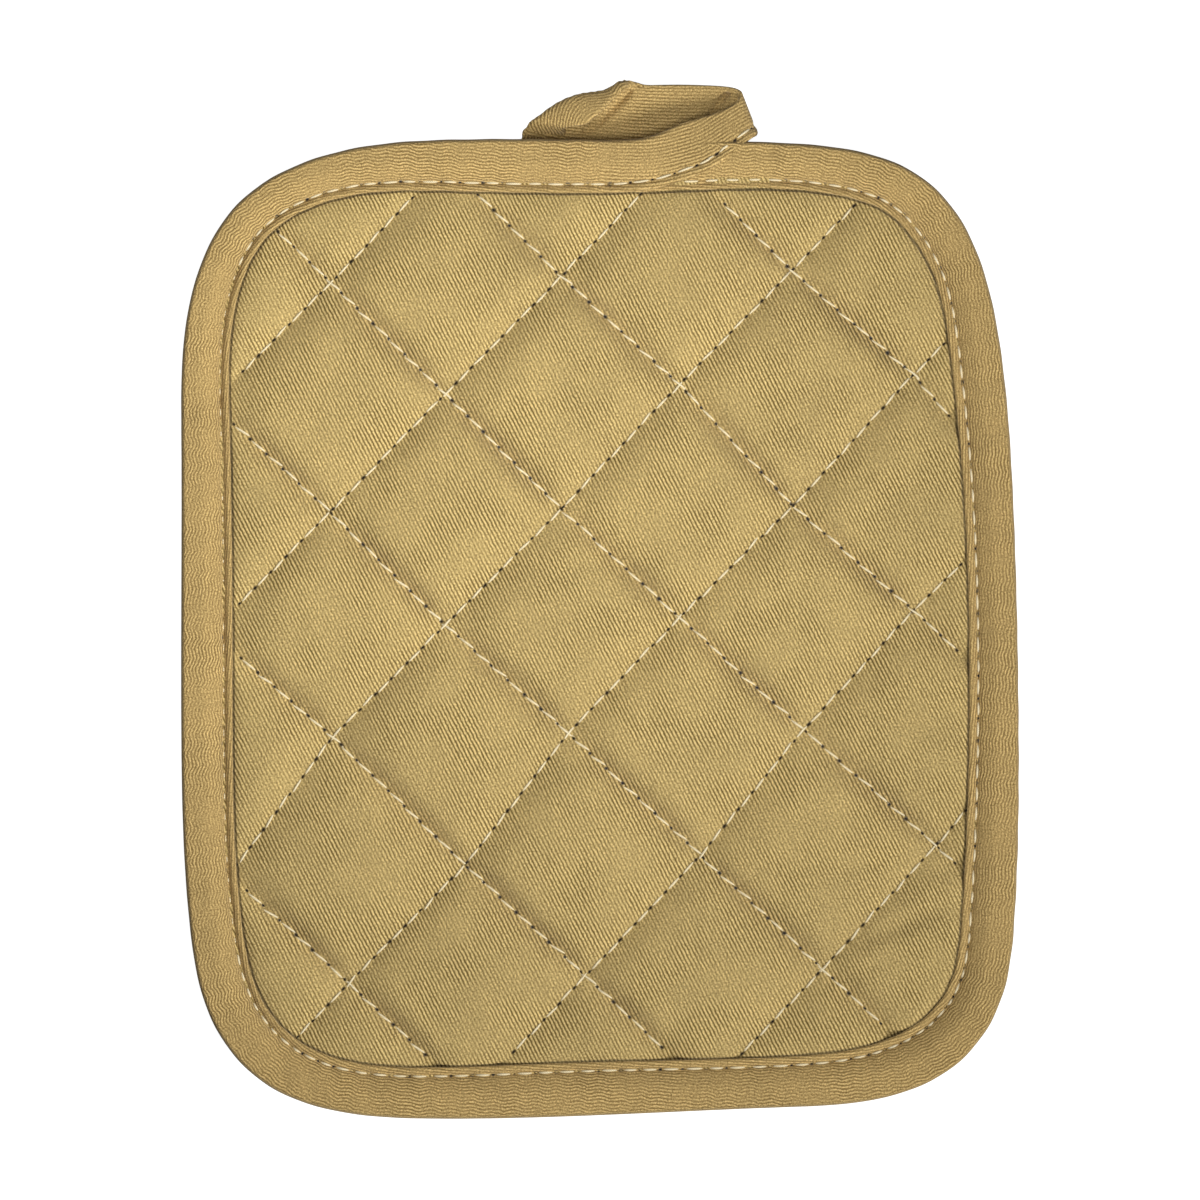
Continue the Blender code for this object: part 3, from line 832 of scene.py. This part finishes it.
def make_binding(settings, sewing, edge):
    """The folded tape round the pad's edge."""
    points, inward, reach, travelled = edge
    front_in, front_up, front_across = tape_face(edge, settings, sewing, FRONT_SEED)
    back_in, back_up, back_across = tape_face(edge, settings, sewing, BACK_SEED)
    front_up -= pressed(points, front_across, TAIL_X)
    back_up -= pressed(points, back_across, ROOT_X)
    back_up = np.minimum(back_up, MIDDLE)  # the underside lies flat on the table
    inner = SEAM_HALF + GAP
    deep = np.full_like(reach, LINING_DEPTH)
    shallow = reach - LINING_INSET
    lining = [(shallow, -inner), (deep, -inner), (deep, inner), (shallow, inner)]
    lining_in, lining_up = (
        np.column_stack([np.broadcast_to(row[part], reach.shape) for row in lining]) for part in (0, 1)
    )
    inset = np.concatenate([front_in, back_in[:, -2::-1], lining_in, front_in[:, :1]], axis=1)
    height = np.concatenate([front_up, -back_up[:, -2::-1], lining_up, front_up[:, :1]], axis=1)
    from_row = np.concatenate([
        front_across, back_across[:, -2::-1], np.full((len(reach), lining_in.shape[1] + 1), UNSEWN)
    ], axis=1) - settings.sewing_inset / MM
    flat = points[:, None] + inward[:, None] * inset[:, :, None]
    places = np.concatenate([flat, (MIDDLE + height)[:, :, None]], axis=2)
    places, from_row = (np.concatenate([part, part[:1]]) for part in (places, from_row))
    across = lengths_between(places, 1)
    along = np.repeat(travelled[:, None], across.shape[1], axis=1)
    return cloth_sheet("folded_edge_tape", places, along, across, from_row, sewing.edge_pitch / MM)


def hermite(start, end, start_slope, end_slope, share):
    """The cubic from start to end with these slopes, at a share of the way."""
    swing = share * share * (3 - 2 * share)
    return (
        start + (end - start) * swing
        + start_slope * share * (1 - share) ** 2
        - end_slope * share ** 2 * (1 - share)
    )


TAIL_STEPS = 40  # between two rows of the tail's table
BEND_ROW = 6  # the table's row where the tail bends back
DOUBLED_ROW = 9  # and from which it lies doubled
TABLE_CLEARANCE = 0.55  # of the creased tail's middle above the table, as a share of its thickness
FREE_RUN = (3, 17)  # x where the tail starts to leave the edge tape, and how far it takes to be free

# Creases in the tail behind its bend, as in the pad.
TAIL_CREASES = (
    (29.6, 113.4, 24.0, 106.8, 0.7, 2.0),
    (6.6, 112.2, 0.2, 105.8, 0.7, 2.4),
    (0.2, 105.8, -3.0, 103.4, 0.7, 2.4),
)


def tail_lines(shares):
    """The tail's stations as lines of points at these shares of its width, from its folded edge to its sewn
    one, and its thickness and its crease's share at each station."""
    rows = []
    for thickness, *places in TAIL:
        flat = len(places) == 6
        middle = [(folded + sewn) / 2 for folded, sewn in zip(places[:3], places[3:])]
        rows.append([thickness, *places, *(middle + [0.5] if flat else [])])
    rows = np.array(rows)
    slopes = np.gradient(rows, axis=0)
    stations = np.array([
        hermite(rows[here], rows[here + 1], slopes[here], slopes[here + 1], share / TAIL_STEPS)
        for here in range(len(rows) - 1)
        for share in range(TAIL_STEPS)
    ] + [rows[-1]])
    thickness, folded, sewn, crease, share = (
        stations[:, :1], stations[:, 1:4], stations[:, 4:7], stations[:, 7:10], stations[:, 10:]
    )
    turn = sewn - folded
    leaves = (crease - folded) * 2 - turn * share
    arrives = (sewn - crease) * 2 - turn * (1 - share)
    lines = [
        np.where(
            at < share,
            hermite(folded, crease, leaves, turn * share, at / share),
            hermite(crease, sewn, turn * (1 - share), arrives, (at - share) / (1 - share)),
        )
        for at in shares
    ]
    return np.stack(lines, axis=1), thickness, share


def lengths_between(points, axis):
    """Distances travelled over a grid of points along one of its axes, from 0 at the start."""
    steps = np.linalg.norm(np.diff(points, axis=axis), axis=2)
    start = np.zeros_like(np.take(steps, [0], axis=axis))
    return np.concatenate([start, np.cumsum(steps, axis=axis)], axis=axis)


def tail_surface(settings, sewing, edge):
    """The tail's front and back as grids of points from its folded edge to its sewn one, how far each point
    of them lies along the tape and in from the sewn edge, and the way up from each. It starts as the edge
    tape's own front face and grows thick and free of it."""
    points, inward, reach, travelled = edge
    face_in, face_up, face_away = (part[:, ::-1] for part in tape_face(edge, settings, sewing, FRONT_SEED))
    top = np.flatnonzero((points[:, 1] > 0) & (np.abs(points[:, 0]) < 40))
    top = top[np.argsort(points[top, 0])]
    face = np.concatenate([
        points[top, None] + inward[top, None] * face_in[top, :, None],
        MIDDLE + face_up[top, :, None],
        face_away[top, :, None],
    ], axis=2)
    shares = (face_in / reach[:, None])[top[len(top) // 2]]
    lines, thickness, crease = tail_lines(shares)
    crease[:DOUBLED_ROW * TAIL_STEPS] = 0
    at = lines[:, [0, -1], 0].mean(axis=1)
    before = np.interp(at, points[top, 0], np.arange(len(top)))
    low = np.floor(before).astype(int).clip(0, len(top) - 2)
    face = face[low] + (face[low + 1] - face[low]) * (before - low)[:, None, None]
    free = smooth_step((at - FREE_RUN[0]) / FREE_RUN[1])
    free[np.argmax(free):] = 1
    free = free[:, None, None]
    up = np.cross(np.gradient(lines, axis=0), -np.gradient(lines, axis=1))
    up /= np.linalg.norm(up, axis=2)[:, :, None]
    up = up * free + np.array([0, 0, 1]) * (1 - free)
    up /= np.linalg.norm(up, axis=2)[:, :, None]
    from_folded = lengths_between(lines, 1)
    from_sewn = from_folded[:, -1:] - from_folded
    start = np.interp(0.0, points[top, 0], travelled[top])
    along = start + lengths_between(lines, 0).mean(axis=1, keepdims=True)
    pull = 0.5 + 0.5 * np.cos(2 * np.pi * along / (sewing.edge_pitch / MM))
    dip = (0.2 + 0.2 * pull) * np.exp(-(((from_sewn - settings.sewing_inset / MM) / 0.6) ** 2))
    dip -= 0.12 * np.exp(-(((from_sewn - 0.75) / 0.6) ** 2))
    rounding = quarter_round(np.minimum(from_sewn, from_folded) + 0.04, 0.7)
    body = (thickness / 2 * rounding)[:, :, None]
    past_bend = np.arange(len(lines))[:, None] > BEND_ROW * TAIL_STEPS
    behind = past_bend & (shares[None] > crease + 0.1)
    creased = lines[behind, 2] + crease_relief(lines[behind, :2], TAIL_CREASES)
    lowest = TABLE_CLEARANCE * np.broadcast_to(thickness, behind.shape)[behind]
    lines[behind, 2] = np.maximum(creased, lowest)
    front = lines + up * (body - dip[:, :, None])
    back = lines - up * body
    front = face[:, :, :3] * (1 - free) + front * free
    back = (face[:, :, :3] - np.array([0, 0, 0.5])) * (1 - free) + back * free
    from_sewn = face[:, :, 3] * (1 - free[:, :, 0]) + from_sewn * free[:, :, 0]
    return front, back, along, from_sewn, up


def make_loop(settings, sewing, edge):
    """The hang loop: the tail of the tape, bent back on itself and doubled over so that it turns round."""
    front, back, along, from_sewn, _ = tail_surface(settings, sewing, edge)
    places = np.concatenate([front, back[:, ::-1], front[:, :1]], axis=1)
    across = np.concatenate([from_sewn, -from_sewn[:, ::-1], -from_sewn[:, :1]], axis=1)
    ends = np.concatenate([front, front[:, ::-1], front[:, :1]], axis=1)
    places = np.concatenate([ends[:1], places, ends[-1:]])
    across = np.concatenate([across[:1], across, across[-1:]])
    along = np.repeat(np.concatenate([along[:1], along, along[-1:]]), across.shape[1], axis=1)
    from_row = np.abs(across) - settings.sewing_inset / MM
    from_row[BEND_ROW * TAIL_STEPS:] = UNSEWN
    return cloth_sheet("folded_tape_loop", places, along, across, from_row, sewing.edge_pitch / MM)


STITCH_STEPS = 8  # points along a stitch
STITCH_SIDES = 6  # and sides round it
STITCH_SHARES = np.linspace(0, 1, STITCH_STEPS)
EDGE_GAP = 0.12  # from a hole in the tape to where its thread comes out, as a share of the pitch
QUILT_SEED = 11  # of the quilting stitches' unevenness
LEFT_ROW = (-80, 0.3)  # x left of which the row on the tape lies deepest, and by how much


def stitch_mesh(name, lines, normals, width):
    """One mesh of short stitches that lie on the cloth along these lines of points, in mm."""
    ahead = np.gradient(lines, axis=1)
    ahead /= np.linalg.norm(ahead, axis=2)[:, :, None]
    side = np.cross(ahead, normals)
    side /= np.linalg.norm(side, axis=2)[:, :, None]
    up = np.cross(side, ahead)
    full = (0.35 + 0.65 * np.sin(np.pi * STITCH_SHARES) ** 0.6)[None, :, None, None] * width / 2
    turn = np.arange(STITCH_SIDES) * 2 * np.pi / STITCH_SIDES
    ring = side[:, :, None] * np.cos(turn)[None, None, :, None]
    ring += 0.8 * up[:, :, None] * np.sin(turn)[None, None, :, None]
    verts = (lines[:, :, None] + ring * full).reshape(-1, 3) * MM
    here = np.arange(STITCH_SIDES)
    after = (here + 1) % STITCH_SIDES
    rings = np.arange(STITCH_STEPS - 1)[:, None] * STITCH_SIDES
    beyond = rings + STITCH_SIDES
    quads = np.stack([rings + here, rings + after, beyond + after, beyond + here], -1).reshape(-1, 4)
    caps = [here[::-1], here + (STITCH_STEPS - 1) * STITCH_SIDES]
    size = STITCH_STEPS * STITCH_SIDES
    faces = []
    for stitch in range(len(lines)):
        faces += (quads + stitch * size).tolist()
        faces += [(cap + stitch * size).tolist() for cap in caps]
    mesh = bpy.data.meshes.new(name)
    mesh.from_pydata(verts.tolist(), [], faces)
    uv_map = mesh.uv_layers.new(name="thread")
    corners = np.empty(len(mesh.loops), np.int32)
    mesh.loops.foreach_get("vertex_index", corners)
    step = corners % size // STITCH_SIDES
    uv = np.column_stack([step * 0.5, corners % STITCH_SIDES * 0.25])
    uv_map.data.foreach_set("uv", uv.astype(np.float32).ravel())
    mesh.shade_smooth()
    obj = bpy.data.objects.new(name, mesh)
    bpy.context.scene.collection.objects.link(obj)
    bm = bmesh.new()
    bm.from_mesh(mesh)
    bmesh.ops.recalc_face_normals(bm, faces=bm.faces)
    bm.to_mesh(mesh)
    bm.free()
    return obj


def quilting_lines(sewing, edge, rising, rng):
    """The quilting stitches of one slant as lines of x, y points between their needle holes."""
    pitch = sewing.quilting_pitch / MM
    counts = stitch_counts(rising, pitch)
    gap = 0.11 if rising else 0.07  # as EDGE_GAP
    lines = []
    for row, before in zip(ROW_NUMBERS, counts):
        for number in range(math.ceil(before[0]), math.floor(before[-1])):
            ends = number + np.linspace(gap, 1 - gap, STITCH_STEPS)
            along = np.interp(ends, before, ROW_NUMBERS.astype(float))
            fixed = np.full(STITCH_STEPS, float(row))
            lines.append(quilt_place(fixed, along) if rising else quilt_place(along, fixed))
    lines = np.array(lines)
    _, depth = depth_inside_tape(lines.reshape(-1, 2), edge)
    lines = lines[depth.reshape(-1, STITCH_STEPS).min(axis=1) > 0.3]
    middle = lines.mean(axis=1, keepdims=True)
    run = lines - middle
    skew = np.radians(rng.normal(3 if rising else 6, 3, len(lines)))[:, None]
    x = run[:, :, 0] * np.cos(skew) - run[:, :, 1] * np.sin(skew)
    y = run[:, :, 0] * np.sin(skew) + run[:, :, 1] * np.cos(skew)
    return middle + rng.normal(0, 0.1, middle.shape) + np.stack([x, y], axis=2)


def lay_stitches(lines, trees, width, below=False):
    """The stitches of these x, y lines, arched from hole to hole over the cloth: their points and ways up."""
    side = -1.0 if below else 1.0
    heights = drop_on(trees, lines.reshape(-1, 2), below).reshape(lines.shape[:2])
    arch = width * (0.85 * np.sin(np.pi * STITCH_SHARES) ** 0.5 - 0.45)
    places = np.concatenate([lines, (heights + side * arch[None])[:, :, None]], axis=2)
    return places, np.broadcast_to([0.0, 0.0, side], places.shape)


def edge_lines(settings, edge):
    """The stitches round the edge tape as lines of x, y points between their needle holes."""
    points, inward, reach, travelled = edge
    pitch = settings.sewing.edge_pitch / MM
    row = points + inward * (reach - settings.tape.sewing_inset / MM)[:, None]
    row = np.vstack([row, row[:1]])
    count = math.floor(travelled[-1] / pitch)
    at = (np.arange(count)[:, None] + np.linspace(EDGE_GAP, 1 - EDGE_GAP, STITCH_STEPS)[None]) * pitch
    return np.stack([np.interp(at, travelled, row[:, part]) for part in (0, 1)], axis=2)


def tail_stitches(settings, edge, width):
    """The stitches along the tail, up to its bend: their points and ways up."""
    front, _, along, from_sewn, up = tail_surface(settings.tape, settings.sewing, edge)
    along = along[:, 0]
    inset = settings.tape.sewing_inset / MM
    column = np.argmin(np.abs(from_sewn - inset), axis=1)
    here = np.arange(len(column))
    pitch = settings.sewing.edge_pitch / MM
    first = math.ceil(along[0] / pitch)
    last = math.floor(along[BEND_ROW * TAIL_STEPS] / pitch)
    at = (np.arange(first, last)[:, None] + np.linspace(EDGE_GAP, 1 - EDGE_GAP, STITCH_STEPS)[None]) * pitch
    row, ups = (
        np.stack([np.interp(at, along, part[here, column, axis]) for axis in range(3)], axis=2)
        for part in (front, up)
    )
    arch = width * (0.85 * np.sin(np.pi * STITCH_SHARES) ** 0.5 - 0.3)
    return row + ups * arch[None, :, None], ups


def add_stitches(name, places, ups, width):
    """Adds one mesh of stitches as a piece of thread."""
    stitches = stitch_mesh(name, places, ups, width)
    stitches.data.materials.append(material_called("spun_sewing_thread", sewing_thread))
    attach(stitches, "root")


class PieceOperator:
    """What every piece's operator shares."""

    bl_options = {"REGISTER", "UNDO"}

    @staticmethod
    def settings(context):
        return context.scene.pot_holder


class POTHOLDER_OT_pad(PieceOperator, bpy.types.Operator):
    """Make the quilted pad with its pillows, puckers and creases"""

    bl_idname = "pot_holder.pad"
    bl_label = "Quilted pad"

    def execute(self, context):
        settings = self.settings(context)
        pad = make_pad(settings.pad, settings.sewing, edge_line(settings.tape.stations))
        pad.data.materials.append(material_called("cotton_drill_pad", pad_twill))
        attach(pad, "root")
        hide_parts("quilted_pad")
        return {"FINISHED"}


class POTHOLDER_OT_binding(PieceOperator, bpy.types.Operator):
    """Make the folded tape round the pad's edge"""

    bl_idname = "pot_holder.binding"
    bl_label = "Edge binding"

    def execute(self, context):
        settings = self.settings(context)
        tape = make_binding(settings.tape, settings.sewing, edge_line(settings.tape.stations))
        tape.data.materials.append(material_called("cotton_drill_tape", tape_twill))
        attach(tape, "root")
        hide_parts("edge_binding")
        return {"FINISHED"}


class POTHOLDER_OT_loop(PieceOperator, bpy.types.Operator):
    """Make the hang loop from the tape's tail"""

    bl_idname = "pot_holder.loop"
    bl_label = "Hang loop"

    def execute(self, context):
        settings = self.settings(context)
        loop = make_loop(settings.tape, settings.sewing, edge_line(settings.tape.stations))
        loop.data.materials.append(material_called("cotton_drill_tape", tape_twill))
        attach(loop, "root")
        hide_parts("hang_loop")
        return {"FINISHED"}


class POTHOLDER_OT_quilting(PieceOperator, bpy.types.Operator):
    """Sew the quilting rows on both faces of the pad"""

    bl_idname = "pot_holder.quilting"
    bl_label = "Quilting stitches"

    def execute(self, context):
        settings = self.settings(context)
        edge = edge_line(settings.tape.stations)
        trees = cloth_trees("quilted_cloth_pad")
        rng = np.random.default_rng(QUILT_SEED)
        width = settings.sewing.thickness / MM
        for name, below in (("quilting_front", False), ("quilting_back", True)):
            laid = [
                lay_stitches(quilting_lines(settings.sewing, edge, rising, rng), trees, width, below)
                for rising in (True, False)
            ]
            places, ups = (np.concatenate([row[part] for row in laid]) for part in (0, 1))
            add_stitches(name, places, ups, width)
        return {"FINISHED"}


class POTHOLDER_OT_edge_sewing(PieceOperator, bpy.types.Operator):
    """Sew the row along the tape and its tail"""

    bl_idname = "pot_holder.edge_sewing"
    bl_label = "Edge stitches"

    def execute(self, context):
        settings = self.settings(context)
        edge = edge_line(settings.tape.stations)
        width = settings.sewing.thickness / MM
        lines = edge_lines(settings, edge)
        tape, tail = cloth_trees("folded_edge_tape", "folded_tape_loop")
        middles = lines[:, STITCH_STEPS // 2]
        shown = drop_on([tail, tape], middles) < drop_on([tape], middles) + 0.05
        places, ups = lay_stitches(lines[shown], [tape], width)
        places[middles[shown][:, 0] < LEFT_ROW[0], :, 2] -= LEFT_ROW[1]
        tail_places, tail_ups = tail_stitches(settings, edge, width)
        add_stitches(
            "edge_sewing_front", np.concatenate([places, tail_places]), np.concatenate([ups, tail_ups]), width
        )
        add_stitches("edge_sewing_back", *lay_stitches(lines, [tape, tail], width, below=True), width)
        return {"FINISHED"}


TABLE_HALF = 3000.0  # of its width
TABLE_GAP = 0.2  # under the pad
KEY_PLACE = (1.99, -1.67, 2.03)  # in metres, as the lights' sizes are
KEY_SIZE = 0.9
TOP_PLACE = (-0.03, 0.05, 0.22)
TOP_SIZE = 0.1


def add_light(name, place, size, power):
    """A square soft light that faces the pad's middle."""
    light = bpy.data.lights.new(name, "AREA")
    light.shape = "SQUARE"
    light.size = size
    light.energy = power
    obj = bpy.data.objects.new(name, light)
    obj.location = place
    obj.rotation_euler = (-Vector(place)).to_track_quat("-Z", "Y").to_euler()
    bpy.context.scene.collection.objects.link(obj)


class POTHOLDER_OT_studio(PieceOperator, bpy.types.Operator):
    """Make the table, the lights and the camera"""

    bl_idname = "pot_holder.studio"
    bl_label = "Studio"

    def execute(self, context):
        studio = self.settings(context).studio
        scene = context.scene
        bm = bmesh.new()
        bmesh.ops.create_grid(bm, x_segments=1, y_segments=1, size=TABLE_HALF)
        bmesh.ops.translate(bm, verts=bm.verts, vec=(0, 0, -TABLE_GAP))
        table = to_mesh("table_top", bm)
        table.data.materials.append(material_called("opal_light_table", table_top))
        world = bpy.data.worlds.new("studio_white")
        scene.world = world
        world.use_nodes = True
        world.node_tree.nodes["Background"].inputs[0].default_value = (1, 1, 1, 1)
        world.node_tree.nodes["Background"].inputs[1].default_value = studio.sky
        add_light("key_light", KEY_PLACE, KEY_SIZE, studio.key)
        add_light("top_light", TOP_PLACE, TOP_SIZE, studio.top)
        camera = bpy.data.cameras.new("camera")
        camera.sensor_width = 36.0
        camera.lens = camera.sensor_width * studio.distance / studio.frame_width
        camera.clip_end = 20.0
        obj = bpy.data.objects.new("camera", camera)
        obj.location = (0, 0, studio.distance + MIDDLE * MM)
        scene.collection.objects.link(obj)
        scene.camera = obj
        scene.view_settings.view_transform = "Standard"
        return {"FINISHED"}


class POTHOLDER_PT_sidebar(bpy.types.Panel):
    """The pot holder's pieces and settings"""

    bl_label = "Pot holder"
    bl_space_type = "VIEW_3D"
    bl_region_type = "UI"
    bl_category = "Pot holder"

    def draw(self, context):
        settings = context.scene.pot_holder
        for title, group, operators in (
            ("Pad", settings.pad, (POTHOLDER_OT_pad,)),
            ("Tape", settings.tape, (POTHOLDER_OT_binding, POTHOLDER_OT_loop)),
            ("Sewing", settings.sewing, (POTHOLDER_OT_quilting, POTHOLDER_OT_edge_sewing)),
            ("Studio", settings.studio, (POTHOLDER_OT_studio,)),
        ):
            box = self.layout.box()
            box.label(text=title)
            for name in group.__annotations__:
                box.prop(group, name)
            for operator in operators:
                box.operator(operator.bl_idname)


CLASSES = (
    PadSettings,
    TapeSettings,
    SewingSettings,
    StudioSettings,
    PotHolderSettings,
    POTHOLDER_OT_pad,
    POTHOLDER_OT_binding,
    POTHOLDER_OT_loop,
    POTHOLDER_OT_quilting,
    POTHOLDER_OT_edge_sewing,
    POTHOLDER_OT_studio,
    POTHOLDER_PT_sidebar,
)


def register():
    for item in CLASSES:
        bpy.utils.register_class(item)
    bpy.types.Scene.pot_holder = PointerProperty(type=PotHolderSettings)


def unregister():
    del bpy.types.Scene.pot_holder
    for item in reversed(CLASSES):
        bpy.utils.unregister_class(item)


def main():
    register()
    bpy.ops.pot_holder.pad()
    bpy.ops.pot_holder.binding()
    bpy.ops.pot_holder.loop()
    bpy.ops.pot_holder.quilting()
    bpy.ops.pot_holder.edge_sewing()
    bpy.ops.pot_holder.studio()


if __name__ == "__main__":
    main()
